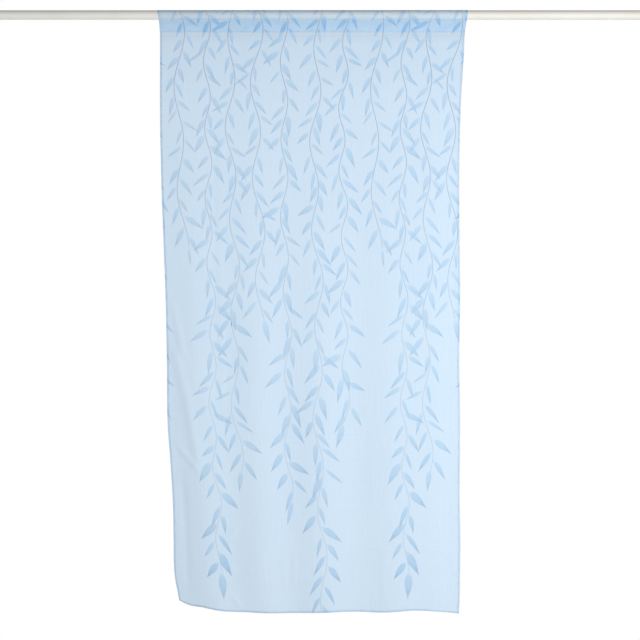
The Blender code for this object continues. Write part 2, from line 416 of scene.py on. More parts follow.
def hang_cloth(across, down, lift=0.0):
    """Places points of the flat cloth where they hang.

    across runs from the left finished edge to the right one and beyond them into the hems. down runs from
    the pocket's seam, with the pocket above it and the foot's hem below it. lift stands off the face.
    """
    left_inside, right_inside = across, CLOTH_WIDTH - across
    edge_inside = np.minimum(left_inside, right_inside)
    folded = turned_in(edge_inside, SIDE_HEM)
    share = np.where(left_inside < right_inside, folded, CLOTH_WIDTH - folded) / CLOTH_WIDTH
    foot_inside = SEAM_TO_FOOT - down
    level = SEAM_TO_FOOT - turned_in(foot_inside, FOOT_HEM)

    # How far behind the printed face's layer each layer of a hem lies, in gaps between layers
    side_behind = np.interp(
        edge_inside, [-SIDE_HEM - SIDE_TUCK, -SIDE_HEM, -FOLD_ROUND, 0.0, FOLD_ROUND], [1, 1.5, 2, 1, 0])
    foot_behind = np.interp(
        foot_inside, [-FOOT_HEM - FOOT_TUCK, -FOOT_HEM, -FOLD_ROUND, 0.0, FOLD_ROUND], [3, 5.5, 8, 4, 0])
    foot_side = np.interp(foot_inside, [
        -FOOT_HEM - FOLD_ROUND, -FOOT_HEM, -FOOT_HEM + FOLD_ROUND, -FOLD_ROUND, 0.0, FOLD_ROUND,
    ], [1, 0, -1, -1, 0, 1])
    behind = LAYER_GAP * (foot_behind + side_behind * foot_side)
    turned = (edge_inside < 0) & (edge_inside > -SIDE_HEM)
    turned_foot = (foot_inside < 0) & (foot_inside > -FOOT_HEM)
    faces_room = np.where(turned == turned_foot, 1.0, -1.0)

    # Above the seam the cloth goes round the rod, and past the seam its raw edge hangs on behind the panel
    in_pocket = level < 0
    past_seam = np.maximum(-level - pocket_round, 0.0)
    pocket_y, pocket_drop, out_y, out_drop = pocket_at(np.minimum(-level, pocket_round))
    hung_drop = SEAM_DROP + level / SEAM_TO_FOOT * (foot_drop(share) - SEAM_DROP)
    drop = np.where(in_pocket, pocket_drop + past_seam, hung_drop)
    x = drape_at(DRAPE_X, share, drop)
    fold_y = drape_at(DRAPE_Y, share, drop)
    sway = np.clip(drop / SEAM_DROP, 0.0, 1.0) ** 2
    back_leg = np.clip((-level - pocket_leg - pocket_arc) / pocket_leg, 0.0, 1.0)
    y = np.where(in_pocket, pocket_y + fold_y * sway + LAYER_GAP * back_leg, fold_y)

    # The room side's direction, level, from how the drape runs across
    step = 1.0 / DRAPE_COLUMNS
    run_x = drape_at(DRAPE_X, share + step, drop) - drape_at(DRAPE_X, share - step, drop)
    run_y = drape_at(DRAPE_Y, share + step, drop) - drape_at(DRAPE_Y, share - step, drop)
    run = np.maximum(np.hypot(run_x, run_y), 1e-9)
    room_x = np.where(in_pocket, 0.0, run_y / run)
    room_y = np.where(in_pocket, out_y, -run_x / run)
    room_z = np.where(in_pocket, -out_drop, 0.0)

    relief = crease_relief(x, drop) * np.where(in_pocket & (y > 0), 0.0, 1.0)
    crumple = np.array([
        noise.noise(Vector((a / CRUMPLE_SIZE, b / CRUMPLE_SIZE * CRUMPLE_STRETCH, 0.0)))
        for a, b in zip(x, drop)
    ])
    relief += CRUMPLE_DEPTH * crumple * np.clip(drop / SEAM_DROP - CRUMPLE_START, 0.0, 1.0)
    in_front = np.where(y > fold_y + POCKET_BACK, 0.0, 1.0)
    near_seam = np.exp(-((drop - SEAM_DROP) / PUCKER_REACH) ** 2) * in_front
    near_side = np.exp(-(folded / PUCKER_REACH) ** 2) * np.clip(drop / SEAM_DROP, 0.0, 1.0)
    near_foot = np.exp(-((SEAM_TO_FOOT - level) / PUCKER_REACH) ** 2)
    relief += PUCKER_DEPTH * (
        waves(share * CLOTH_WIDTH, 3) * (near_seam + near_foot) + waves(drop + share, 5) * near_side)
    over_rod = in_pocket & (drop < SEAM_DROP / 2)
    relief = np.where(over_rod, 0.0, relief)

    stand_off = lift * faces_room - behind
    return Place(
        x=x + room_x * stand_off,
        y=y + room_y * stand_off - relief,
        z=-drop + room_z * stand_off,
    )


# The print
# Leafy stems hang down the cloth from its top edge, screen printed in a greyer blue that sinks into the
# threads. One screen holds seven stems, and the print repeats from it across the cloth.

PRINT_REPEAT = 0.651
PRINT_OVERRUN = 0.030
PRINT_TOP = -(pocket_round + POCKET_TAIL) - PRINT_OVERRUN
STEM_WIDTH = 0.0024
STEM_STEP = 0.010
TIP_THINNING = 0.4

# Under its waves each stem has slower ones: their share of its sway, and their length in its waves
SLOW_SWAY = 0.3
SLOW_WAVE = 2.7

# The leaves: how they are spaced, how long and how broad they are, how they grow down to GROWN_AT, how far
# they turn from the stem, how much of its lean they share, how far each slides from its even place, and the
# share of the stem past which one is the leaf at its tip
LEAF_SPACING = 0.0295
SPACING_GROWTH = 0.12
SHORTEST_LEAF = 0.060
LONGEST_LEAF = 0.086
LEAF_WIDTH_SHARE = 0.225
LEAF_BREADTH = (0.74, 1.18)
LEAF_GROWTH = (0.90, 1.13)
GROWN_AT = 1.5
LEAF_SPREAD = (math.radians(22), math.radians(56))
LEAN_SHARE = 0.85
LEAF_SLIDE = 0.007
LAST_ON_STEM = 0.9999

# A leaf's outline: its thin stalk, how its widest place is moved up the blade, and how its ends narrow
LEAF_STATIONS = 12
STALK = 0.06
STALK_WIDTH = 0.07
BLADE_SHIFT = 0.74
BLADE_TAPER = 1.3

# Each stem: where it starts across the cloth, where its tip ends below the seam, and its gentle waves
Stem = namedtuple("Stem", "across tip sway wave phase")
STEMS = [
    Stem(across=0.066, tip=0.700, sway=0.015, wave=0.350, phase=0.25),
    Stem(across=0.157, tip=1.745, sway=0.011, wave=0.220, phase=0.31),
    Stem(across=0.236, tip=1.420, sway=0.015, wave=0.300, phase=0.71),
    Stem(across=0.321, tip=0.925, sway=0.017, wave=0.320, phase=0.25),
    Stem(across=0.411, tip=1.510, sway=0.012, wave=0.250, phase=0.36),
    Stem(across=0.516, tip=1.910, sway=0.015, wave=0.300, phase=0.58),
    Stem(across=0.608, tip=1.265, sway=0.012, wave=0.210, phase=0.59),
]

# The leaf's outlines: how far its middle line curves, as a share of its length, and how full it is
LeafShape = namedtuple("LeafShape", "name curve fullness")
LEAF_SHAPES = [
    LeafShape(name="leaf_bent", curve=0.10, fullness=1.00),
    LeafShape(name="leaf_narrow", curve=0.05, fullness=0.85),
    LeafShape(name="leaf_hooked", curve=0.15, fullness=0.95),
    LeafShape(name="leaf_broad", curve=0.07, fullness=1.10),
]


def leaf_half_width(t):
    """Half a leaf's width, from its thin stalk, to its widest place, to its long point."""
    along_blade = min(max(t - STALK, 0.0) / (1 - STALK), 1.0)
    blade = math.sin(math.pi * along_blade**BLADE_SHIFT) ** BLADE_TAPER
    return max(blade, STALK_WIDTH * (1 - t))


def leaf_points(shape):
    """A flat leaf of unit length that hangs from its stalk at the origin: left, middle and right points."""
    points = []
    for i in range(LEAF_STATIONS + 1):
        t = i / LEAF_STATIONS
        half = leaf_half_width(t) * LEAF_WIDTH_SHARE / 2 * shape.fullness
        points += [(-shape.curve * t**2 + side * half, -t, 0.0) for side in (-1, 0, 1)]
    return points


def leaf_mesh(shape):
    faces = []
    for i in range(LEAF_STATIONS):
        for k in (0, 1):
            a = 3 * i + k
            faces.append((a, a + 3, a + 4, a + 1))
    mesh = bpy.data.meshes.new(shape.name)
    mesh.from_pydata(leaf_points(shape), [], faces)
    return mesh


def stem_points(stem):
    return round((stem.tip - PRINT_TOP) / STEM_STEP)


def stems_curve():
    """The stems' middle lines on the flat cloth, each a little thinner towards its tip."""
    curve = bpy.data.curves.new("stem_lines", "CURVE")
    curve.dimensions = "3D"
    for stem in STEMS:
        count = stem_points(stem)
        spline = curve.splines.new("POLY")
        spline.points.add(count)
        for i, point in enumerate(spline.points):
            down = PRINT_TOP + (stem.tip - PRINT_TOP) * i / count
            bend = math.sin(2 * math.pi * (down / stem.wave + stem.phase))
            bend += SLOW_SWAY * math.sin(2 * math.pi * (down / (SLOW_WAVE * stem.wave) + 2 * stem.phase))
            point.co = (stem.across + stem.sway * bend, -down, 0.0, 1.0)
            point.radius = 1.0 - TIP_THINNING * eased(i / count)
    return curve


def add_socket(tree, name, kind, way="INPUT"):
    tree.interface.new_socket(name, in_out=way, socket_type=kind)


def tree_result(host, tree, values):
    """What a Geometry Nodes tree makes on an object, as a plain mesh."""
    modifier = host.modifiers.new(tree.name, "NODES")
    modifier.node_group = tree
    for item in tree.interface.items_tree:
        if item.in_out == "INPUT" and item.name in values:
            modifier[item.identifier] = values[item.name]
    bpy.context.view_layer.update()
    graph = bpy.context.evaluated_depsgraph_get()
    mesh = bpy.data.meshes.new_from_object(host.evaluated_get(graph), depsgraph=graph)
    host.modifiers.remove(modifier)
    return mesh


def printed_stems_tree():
    """Leaves on alternate sides of each stem, and one that hangs from its tip."""
    tree = bpy.data.node_groups.new("printed_stems", "GeometryNodeTree")
    add_socket(tree, "Stems", "NodeSocketGeometry")
    for name in ("Leaf spacing", "Spacing growth", "Shortest leaf", "Longest leaf", "Stem width"):
        add_socket(tree, name, "NodeSocketFloat")
    add_socket(tree, "Leaf shapes", "NodeSocketCollection")
    add_socket(tree, "Leaf print", "NodeSocketMaterial")
    add_socket(tree, "Stem print", "NodeSocketMaterial")
    add_socket(tree, "Print", "NodeSocketGeometry", "OUTPUT")
    given = add_node(tree, "NodeGroupInput").outputs

    spaced = add_node(tree, "GeometryNodeResampleCurve", {
        "Curve": given["Stems"], "Length": given["Leaf spacing"],
    }, mode="LENGTH")
    order = add_node(tree, "GeometryNodeSplineParameter").outputs
    side = add_node(tree, "ShaderNodeMath", {0: order["Index"], 1: 2.0}, operation="MODULO")
    side = add_node(tree, "ShaderNodeMath", {0: side, 1: 2.0, 2: -1.0}, operation="MULTIPLY_ADD")

    # The leaves' spacing grows from the top of a stem to its tip
    count = add_node(tree, "GeometryNodeSplineLength").outputs["Point Count"]
    gaps = add_node(tree, "ShaderNodeMath", {0: count, 1: 1.0}, operation="SUBTRACT")
    share = add_node(tree, "ShaderNodeMath", {0: order["Index"], 1: gaps}, operation="DIVIDE")
    back = add_node(tree, "ShaderNodeMath", {0: share, 1: 1.0}, operation="SUBTRACT")
    pace = add_node(tree, "ShaderNodeMath", {
        0: back, 1: given["Spacing growth"], 2: 1.0,
    }, operation="MULTIPLY_ADD")
    sampled = add_node(tree, "GeometryNodeSampleCurve", {
        "Curves": given["Stems"],
        "Factor": add_node(tree, "ShaderNodeMath", {0: share, 1: pace}, operation="MULTIPLY"),
        "Curve Index": add_node(tree, "GeometryNodeCurveOfPoint").outputs["Curve Index"],
    }, mode="FACTOR").outputs
    slide = add_node(tree, "FunctionNodeRandomValue", {2: -LEAF_SLIDE, 3: LEAF_SLIDE, "Seed": 47})
    placed = add_node(tree, "GeometryNodeSetPosition", {
        "Geometry": spaced,
        "Position": sampled["Position"],
        "Offset": add_node(tree, "ShaderNodeCombineXYZ", {"Y": slide}),
    })

    # A leaf turns away from its stem, to its own side, and the one at the tip goes on along it
    tangent = add_node(tree, "ShaderNodeSeparateXYZ", {"Vector": sampled["Tangent"]}).outputs
    downward = add_node(tree, "ShaderNodeMath", {0: tangent["Y"], 1: -1.0}, operation="MULTIPLY")
    heading = add_node(tree, "ShaderNodeMath", {0: tangent["X"], 1: downward}, operation="ARCTAN2")
    not_tip = add_node(tree, "ShaderNodeMath", {0: order["Factor"], 1: LAST_ON_STEM}, operation="LESS_THAN")
    spread = add_node(tree, "FunctionNodeRandomValue", {2: LEAF_SPREAD[0], 3: LEAF_SPREAD[1], "Seed": 14})
    for factor in (side, not_tip):
        spread = add_node(tree, "ShaderNodeMath", {0: spread, 1: factor}, operation="MULTIPLY")
    turn = add_node(tree, "ShaderNodeMath", {0: heading, 1: LEAN_SHARE, 2: spread}, operation="MULTIPLY_ADD")

    height = add_node(tree, "ShaderNodeSeparateXYZ", {"Vector": sampled["Position"]}).outputs["Y"]
    growth = add_node(tree, "ShaderNodeMapRange", {
        0: height, 1: 0.0, 2: -GROWN_AT, 3: LEAF_GROWTH[0], 4: LEAF_GROWTH[1],
    })
    length = add_node(tree, "FunctionNodeRandomValue", {
        2: given["Shortest leaf"], 3: given["Longest leaf"], "Seed": 23,
    })
    length = add_node(tree, "ShaderNodeMath", {0: length, 1: growth}, operation="MULTIPLY")
    breadth = add_node(tree, "FunctionNodeRandomValue", {2: LEAF_BREADTH[0], 3: LEAF_BREADTH[1], "Seed": 31})
    for factor in (length, side):
        breadth = add_node(tree, "ShaderNodeMath", {0: breadth, 1: factor}, operation="MULTIPLY")

    shapes = add_node(tree, "GeometryNodeCollectionInfo", {
        "Collection": given["Leaf shapes"], "Separate Children": True, "Reset Children": True,
    })
    pick = add_node(tree, "FunctionNodeRandomValue", {
        4: 0, 5: len(LEAF_SHAPES) - 1, "Seed": 59,
    }, data_type="INT")
    leaves = add_node(tree, "GeometryNodeInstanceOnPoints", {
        "Points": placed,
        "Instance": shapes,
        "Pick Instance": True,
        "Instance Index": pick,
        "Rotation": add_node(tree, "ShaderNodeCombineXYZ", {"Z": turn}),
        "Scale": add_node(tree, "ShaderNodeCombineXYZ", {"X": breadth, "Y": length, "Z": 1.0}),
    })
    shaped = add_node(tree, "GeometryNodeStoreNamedAttribute", {
        "Geometry": leaves, "Name": "leaf_shape", "Value": pick,
    }, data_type="INT", domain="INSTANCE")
    toned = add_node(tree, "GeometryNodeStoreNamedAttribute", {
        "Geometry": shaped,
        "Name": "leaf_tone",
        "Value": add_node(tree, "FunctionNodeRandomValue", {2: 0.0, 3: 1.0, "Seed": 67}),
    }, data_type="FLOAT", domain="INSTANCE")
    real = add_node(tree, "GeometryNodeRealizeInstances", {"Geometry": toned})
    leaf_print = add_node(tree, "GeometryNodeSetMaterial", {
        "Geometry": real, "Material": given["Leaf print"],
    })

    ends = []
    for half in (-0.5, 0.5):
        across = add_node(tree, "ShaderNodeMath", {0: given["Stem width"], 1: half}, operation="MULTIPLY")
        ends.append(add_node(tree, "ShaderNodeCombineXYZ", {"X": across}))
    strip = add_node(tree, "GeometryNodeCurveToMesh", {
        "Curve": given["Stems"],
        "Profile Curve": add_node(tree, "GeometryNodeCurvePrimitiveLine", {"Start": ends[0], "End": ends[1]}),
    })
    stem_print = add_node(tree, "GeometryNodeSetMaterial", {
        "Geometry": strip, "Material": given["Stem print"],
    })
    both = add_node(tree, "GeometryNodeJoinGeometry", {0: leaf_print})
    tree.links.new(stem_print.outputs[0], both.inputs[0])
    add_node(tree, "NodeGroupOutput", {"Print": both})
    return tree


# The voile and its inks
# Polyester voile: a sparse plain weave of fine matt threads, pale blue, so thin that a quarter of the light
# behind it comes through. The inks only tint the threads and fill the weave a little.

THREAD = "B7D5ED"
THREAD_PALE = "BAD7EF"
THREAD_COVER = 0.76
UV_FLAT = "flat_cloth"
UV_LEAF = "leaf_place"

# Single threads are 0.35 mm apart, too fine to show, so the streaks are drawn as bundles of a few threads
WARP_STREAK = (0.0024, 0.140)
WEFT_STREAK = (0.180, 0.0030)
DENSITY_PATCH = (0.220, 0.220)
STREAK_RELIEF = 0.00012

# How much cover the warp, the weft and the patches each add at most, or take away
WARP_UNEVEN = 0.018
WEFT_UNEVEN = 0.014
PATCH_UNEVEN = 0.015

# Painted shade below the pocket's seam, where the rod and the pocket shade the cloth: how far below the seam
# it reaches, faintly and at its strongest, how much each of them darkens the colour, and where it ends above
# the seam
THREAD_IN_SHADE = "93B4CF"
SHADE_REACH = 0.240
SHADE_NEAR = 0.040
FAINT_SHADE = 0.20
FULL_SHADE = 0.42
SEAM_SIDE = 0.002

# Where the cloth is stretched over the rod, from the pocket's top, its cover there, and the rod's painted
# shadow
OVER_ROD = 0.038
OVER_ROD_EDGE = 0.005
COVER_OVER_ROD = 0.52
ROD_SHADOW = 0.30

# Painted shade greying the turned edges, where the hems fold
EDGE_SHADE = "BCCBD9"
EDGE_REACH = 0.007
EDGE_STRENGTH = 0.6

# The leaves' ink: its own blues, the share of the deep one by place, near the foot and as painted shade round
# the pocket and below the seam, where and how fully it is laid on from high up to low down, how much cover it
# adds, and its share at an overprint
LEAF_INK = "90BCDE"
LEAF_INK_PALE = "A3CAE9"
LEAF_INK_TIP = "86A3C6"
LEAF_INK_DEEP_AND_SHADE = "5E9FD6"
DEEP_NEAR_FOOT = 0.14
SHADE_BELOW_SEAM = 0.16
SHADE_IN_POCKET = 0.50
DEEPENS_BETWEEN = (-1.2, -1.8)
LAID_ON_BETWEEN = (-1.0, -1.7)
LAID_ON = (0.82, 0.98)
LEAF_COVER = (0.02, 0.08)
OVERPRINT = 0.6

# How a leaf is brushed: its strokes along and across it, what they and the way to its point add, and what is
# left of the ink at its vein, at its stalk and on the palest leaf
BRUSH_STROKES = (5.0, 3.2, 1.0)
BY_BRUSH = (-0.15, 0.45)
TOWARDS_POINT = 0.7
AT_VEIN = 0.75
AT_STALK = 0.35
PALEST_LEAF = 0.80

# The stems' ink, and the one snag in it
STEM_INK = "8699B6"
STEM_BLOTCH = 0.012
STEM_THINS_BETWEEN = (-0.1, -1.2)
STEM_AT_FOOT = 0.45
STEM_COVER = (0.03, 0.12)
SNAG_INK = "4F6078"
SNAG_PLACE = (0.222, -0.944)
SNAG_SIZE = (0.0026, 0.0070)
SNAG_STRENGTH = 0.9


def streaks(tree, place, size):
    """Uneven threads: a noise drawn out along them."""
    stretched = add_node(tree, "ShaderNodeMapping", {
        "Vector": place, "Scale": (1 / size[0], 1 / size[1], 1.0),
    })
    return add_node(tree, "ShaderNodeTexNoise", {
        "Vector": stretched, "Scale": 1.0, "Detail": 2.0, "Roughness": 0.6,
    })


def voile_finish(name, tint=None):
    """Sheer voile, plain or printed. tint turns the bare thread's colour into the printed one and says how
    much more of the light behind the ink stops."""
    finish = new_finish(name)
    tree = finish.node_tree
    flat = add_node(tree, "ShaderNodeUVMap", uv_map=UV_FLAT)
    height = add_node(tree, "ShaderNodeSeparateXYZ", {"Vector": flat}).outputs["Y"]
    warp, weft, patch = [streaks(tree, flat, size) for size in (WARP_STREAK, WEFT_STREAK, DENSITY_PATCH)]
    pale = add_node(tree, "ShaderNodeMapRange", {0: warp, 1: 0.3, 2: 0.7})
    colour = add_node(tree, "ShaderNodeMix", {0: pale, 6: THREAD, 7: THREAD_PALE}, data_type="RGBA")

    # Painted shade darkens the cloth below the seam and all round the pocket, and a painted shadow of the rod
    # darkens the pocket more, from the rod down to the seam. Over the rod the threads are stretched apart
    faint_painted_shade = add_node(tree, "ShaderNodeMapRange", {
        0: height, 1: -SHADE_REACH, 2: 0.0, 4: FAINT_SHADE,
    })
    most = add_node(tree, "ShaderNodeMapRange", {0: height, 1: -SHADE_NEAR, 2: 0.0, 4: FULL_SHADE})
    hanging = add_node(tree, "ShaderNodeMapRange", {0: height, 1: 0.0, 2: SEAM_SIDE, 3: 1.0, 4: 0.0})
    most = add_node(tree, "ShaderNodeMath", {0: most, 1: hanging}, operation="MULTIPLY")
    from_top = add_node(tree, "ShaderNodeMath", {0: height, 1: pocket_round / 2}, operation="SUBTRACT")
    from_top = add_node(tree, "ShaderNodeMath", {0: from_top}, operation="ABSOLUTE")
    over_rod = add_node(tree, "ShaderNodeMapRange", {
        0: from_top, 1: OVER_ROD, 2: pocket_round / 2, 3: ROD_SHADOW, 4: 0.0,
    })
    for share in (faint_painted_shade, most, over_rod):
        colour = add_node(tree, "ShaderNodeMix", {0: share, 6: colour, 7: THREAD_IN_SHADE}, data_type="RGBA")
    cover = add_node(tree, "ShaderNodeMapRange", {
        0: from_top, 1: OVER_ROD, 2: OVER_ROD + OVER_ROD_EDGE, 3: COVER_OVER_ROD, 4: THREAD_COVER,
    })

    # Painted shade greys the turned edges, at both sides all the way and at the foot
    out = add_node(tree, "ShaderNodeVectorMath", {
        0: flat, 1: (CLOTH_WIDTH / 2, -SEAM_TO_FOOT / 2, 0.0),
    }, operation="SUBTRACT")
    out = add_node(tree, "ShaderNodeVectorMath", {0: out}, operation="ABSOLUTE")
    out = add_node(tree, "ShaderNodeSeparateXYZ", {"Vector": out}).outputs
    below_seam = add_node(tree, "ShaderNodeMapRange", {0: height, 1: -SEAM_SIDE, 2: 0.0, 3: 1.0, 4: 0.0})
    for way, edge, where in (("X", CLOTH_WIDTH / 2, 1.0), ("Y", SEAM_TO_FOOT / 2, below_seam)):
        painted_edge_shade = add_node(tree, "ShaderNodeMapRange", {
            0: out[way], 1: edge - EDGE_REACH, 2: edge - EDGE_REACH / 2, 4: EDGE_STRENGTH,
        })
        painted_edge_shade = add_node(tree, "ShaderNodeMath", {0: painted_edge_shade, 1: where}, operation="MULTIPLY")
        colour = add_node(tree, "ShaderNodeMix", {0: painted_edge_shade, 6: colour, 7: EDGE_SHADE}, data_type="RGBA")

    if tint:
        colour, extra = tint(tree, flat, height, colour)
        cover = add_node(tree, "ShaderNodeMath", {0: extra, 1: cover}, operation="ADD")
    patterns = ((warp, 0.25, WARP_UNEVEN), (weft, 0.25, WEFT_UNEVEN), (patch, 0.30, PATCH_UNEVEN))
    uneven = [
        add_node(tree, "ShaderNodeMapRange", {0: pattern, 1: low, 2: 1 - low, 3: -most, 4: most})
        for pattern, low, most in patterns
    ]
    threads = add_node(tree, "ShaderNodeMath", {0: uneven[0], 1: uneven[1]}, operation="ADD")
    alpha = threads
    for more in (uneven[2], cover):
        alpha = add_node(tree, "ShaderNodeMath", {0: alpha, 1: more}, operation="ADD")
    shader = add_node(tree, "ShaderNodeBsdfPrincipled", {
        "Base Color": colour,
        "Roughness": 0.85,
        "Alpha": alpha,
        "Normal": add_node(tree, "ShaderNodeBump", {
            "Height": threads, "Distance": STREAK_RELIEF, "Strength": 0.3,
        }),
        "Specular IOR Level": 0.25,
        "Sheen Weight": 0.12,
        "Sheen Roughness": 0.5,
    })
    add_node(tree, "ShaderNodeOutputMaterial", {"Surface": shader})
    return finish


def leaf_tint(tree, flat, height, colour):
    """Ink laid on in brush strokes: pale at the stalk, fuller at the point, with a pale middle vein."""
    leaf = add_node(tree, "ShaderNodeUVMap", uv_map=UV_LEAF)
    way = add_node(tree, "ShaderNodeSeparateXYZ", {"Vector": leaf}).outputs
    strokes = add_node(tree, "ShaderNodeMapping", {"Vector": leaf, "Scale": BRUSH_STROKES})
    brushed = add_node(tree, "ShaderNodeTexNoise", {
        "Vector": strokes, "Scale": 1.0, "Detail": 2.0, "Distortion": 0.6,
    })
    brushed = add_node(tree, "ShaderNodeMapRange", {
        0: brushed, 1: 0.35, 2: 0.7, 3: BY_BRUSH[0], 4: BY_BRUSH[1],
    })
    full = add_node(tree, "ShaderNodeMapRange", {0: way["X"], 1: 0.05, 2: 0.75})
    full = add_node(tree, "ShaderNodeMath", {
        0: full, 1: TOWARDS_POINT, 2: brushed,
    }, operation="MULTIPLY_ADD")
    off_vein = add_node(tree, "ShaderNodeMath", {0: way["Y"]}, operation="ABSOLUTE")
    off_vein = add_node(tree, "ShaderNodeMapRange", {0: off_vein, 1: 0.05, 2: 0.22, 3: AT_VEIN})
    full = add_node(tree, "ShaderNodeMath", {
        0: full, 1: off_vein,
    }, operation="MULTIPLY", use_clamp=True)
    at_tip = add_node(tree, "ShaderNodeMapRange", {0: way["X"], 1: 0.62, 2: 0.96})
    low = add_node(tree, "ShaderNodeMapRange", {
        0: height, 1: DEEPENS_BETWEEN[0], 2: DEEPENS_BETWEEN[1], 4: DEEP_NEAR_FOOT,
    })
    ink = LEAF_INK_PALE
    for share, over in ((full, LEAF_INK), (at_tip, LEAF_INK_TIP), (low, LEAF_INK_DEEP_AND_SHADE)):
        ink = add_node(tree, "ShaderNodeMix", {0: share, 6: ink, 7: over}, data_type="RGBA")

    # Each leaf takes its own amount of ink, and less at its stalk
    tone = add_node(tree, "ShaderNodeAttribute", attribute_name="leaf_tone").outputs["Fac"]
    tone = add_node(tree, "ShaderNodeMapRange", {0: tone, 3: PALEST_LEAF})
    from_stalk = add_node(tree, "ShaderNodeMapRange", {0: way["X"], 1: 0.04, 2: 0.22, 3: AT_STALK})
    laid_on = add_node(tree, "ShaderNodeMath", {0: tone, 1: from_stalk}, operation="MULTIPLY")
    by_height = add_node(tree, "ShaderNodeMapRange", {
        0: height, 1: LAID_ON_BETWEEN[0], 2: LAID_ON_BETWEEN[1], 3: LAID_ON[0], 4: LAID_ON[1],
    })
    strength = add_node(tree, "ShaderNodeMath", {0: laid_on, 1: by_height}, operation="MULTIPLY")

    # Painted shade deepens the print all round the pocket and below the seam, where the rod and the pocket
    # shade the cloth
    below_seam = add_node(tree, "ShaderNodeMapRange", {
        0: height, 1: -SHADE_REACH, 2: 0.0, 4: SHADE_BELOW_SEAM,
    })
    in_pocket = add_node(tree, "ShaderNodeMapRange", {
        0: height, 1: -2 * SEAM_SIDE, 2: 2 * SEAM_SIDE, 4: SHADE_IN_POCKET,
    })
    painted_shade = add_node(tree, "ShaderNodeMath", {0: below_seam, 1: in_pocket}, operation="MAXIMUM")
    painted_shade = add_node(tree, "ShaderNodeMath", {0: laid_on, 1: painted_shade}, operation="MULTIPLY")
    doubled = add_node(tree, "ShaderNodeAttribute", attribute_name="overprint").outputs["Fac"]
    doubled = add_node(tree, "ShaderNodeMapRange", {0: doubled, 4: OVERPRINT})
    for share, over in ((strength, ink), (painted_shade, LEAF_INK_DEEP_AND_SHADE), (doubled, LEAF_INK)):
        colour = add_node(tree, "ShaderNodeMix", {0: share, 6: colour, 7: over}, data_type="RGBA")
    return colour, add_node(tree, "ShaderNodeMapRange", {0: full, 3: LEAF_COVER[0], 4: LEAF_COVER[1]})


def stem_tint(tree, flat, height, colour):
    """A thin dark line of ink, uneven where the weave took less of it and weaker towards the foot, with one
    snag that holds a dark knot."""
    uneven = add_node(tree, "ShaderNodeTexNoise", {"Vector": flat, "Scale": 1 / STEM_BLOTCH})
    uneven = add_node(tree, "ShaderNodeMapRange", {0: uneven, 1: 0.3, 2: 0.7, 3: 0.8})
    by_height = add_node(tree, "ShaderNodeMapRange", {
        0: height, 1: STEM_THINS_BETWEEN[0], 2: STEM_THINS_BETWEEN[1], 3: 1.0, 4: STEM_AT_FOOT,
    })
    inked = add_node(tree, "ShaderNodeMath", {0: uneven, 1: by_height}, operation="MULTIPLY")
    from_snag = add_node(tree, "ShaderNodeMapping", {
        "Vector": flat, "Location": (*SNAG_PLACE, 0.0), "Scale": (*SNAG_SIZE, 1.0),
    }, vector_type="TEXTURE")
    from_snag = add_node(tree, "ShaderNodeVectorMath", {0: from_snag}, operation="LENGTH").outputs["Value"]
    knot = add_node(tree, "ShaderNodeMapRange", {0: from_snag, 1: 0.6, 2: 1.0, 3: SNAG_STRENGTH, 4: 0.0})
    for share, over in ((inked, STEM_INK), (knot, SNAG_INK)):
        colour = add_node(tree, "ShaderNodeMix", {0: share, 6: colour, 7: over}, data_type="RGBA")
    return colour, add_node(tree, "ShaderNodeMapRange", {
        0: inked, 1: 0.4, 2: 1.0, 3: STEM_COVER[0], 4: STEM_COVER[1],
    })


voile = voile_finish("sheer_polyester_voile")
leaf_ink = voile_finish("leaf_print_on_voile", leaf_tint)
stem_ink = voile_finish("stem_print_on_voile", stem_tint)


# The curtain panel
# The cloth is cut flat with its hems and its print, and then hung. The print's outlines are edges of the
# cloth's own mesh, so that they stay crisp, and nothing stands out from the cloth.

GRID_STEP = 0.008
POCKET_STEP = 0.004
CUT_TOP = -(pocket_round + POCKET_TAIL)
CUT_FOOT = SEAM_TO_FOOT + FOOT_HEM + FOOT_TUCK
CUT_SIDE = SIDE_HEM + SIDE_TUCK
SAME_POINT = 1e-6
SHARP_FOLD = math.radians(60)

Outline = namedtuple("Outline", "points to_own shape tone")


def printed_stems():
    """The flat print of one screen: its points, its faces, and what each belongs to."""
    shapes = bpy.data.collections.new("leaf_shapes")
    bpy.context.scene.collection.children.link(shapes)
    for shape in LEAF_SHAPES:
        shapes.objects.link(bpy.data.objects.new(shape.name, leaf_mesh(shape)))
    host = bpy.data.objects.new("stem_lines", stems_curve())
    bpy.context.scene.collection.objects.link(host)
    mesh = tree_result(host, printed_stems_tree(), {
        "Leaf spacing": LEAF_SPACING,
        "Spacing growth": SPACING_GROWTH,
        "Shortest leaf": SHORTEST_LEAF,
        "Longest leaf": LONGEST_LEAF,
        "Stem width": STEM_WIDTH,
        "Leaf shapes": shapes,
        "Leaf print": leaf_ink,
        "Stem print": stem_ink,
    })
    bpy.data.objects.remove(host)
    for leaf in list(shapes.objects):
        bpy.data.objects.remove(leaf)
    bpy.data.collections.remove(shapes)
    return mesh


def grid_lines():
    """Where the cloth's grid runs across and down, with lines at each fold."""
    hem_lines = [-CUT_SIDE, -SIDE_HEM, -FOLD_ROUND, 0.0, FOLD_ROUND, SIDE_HEM]
    inner_count = round((CLOTH_WIDTH - 2 * SIDE_HEM) / GRID_STEP) + 1
    inner = np.linspace(SIDE_HEM, CLOTH_WIDTH - SIDE_HEM, inner_count)
    across = np.concatenate([hem_lines[:-1], inner, [CLOTH_WIDTH - h for h in hem_lines[-2::-1]]])
    pocket = np.linspace(-pocket_round, 0.0, round(pocket_round / POCKET_STEP) + 1)
    hem_top = SEAM_TO_FOOT - FOOT_HEM
    hanging = np.linspace(0.0, hem_top, round(hem_top / GRID_STEP) + 1)
    foot = [SEAM_TO_FOOT + h for h in (-FOLD_ROUND, 0.0, FOLD_ROUND, FOOT_HEM, FOOT_HEM + FOOT_TUCK)]
    down = np.concatenate([[CUT_TOP], pocket, hanging[1:], foot])
    return across, down


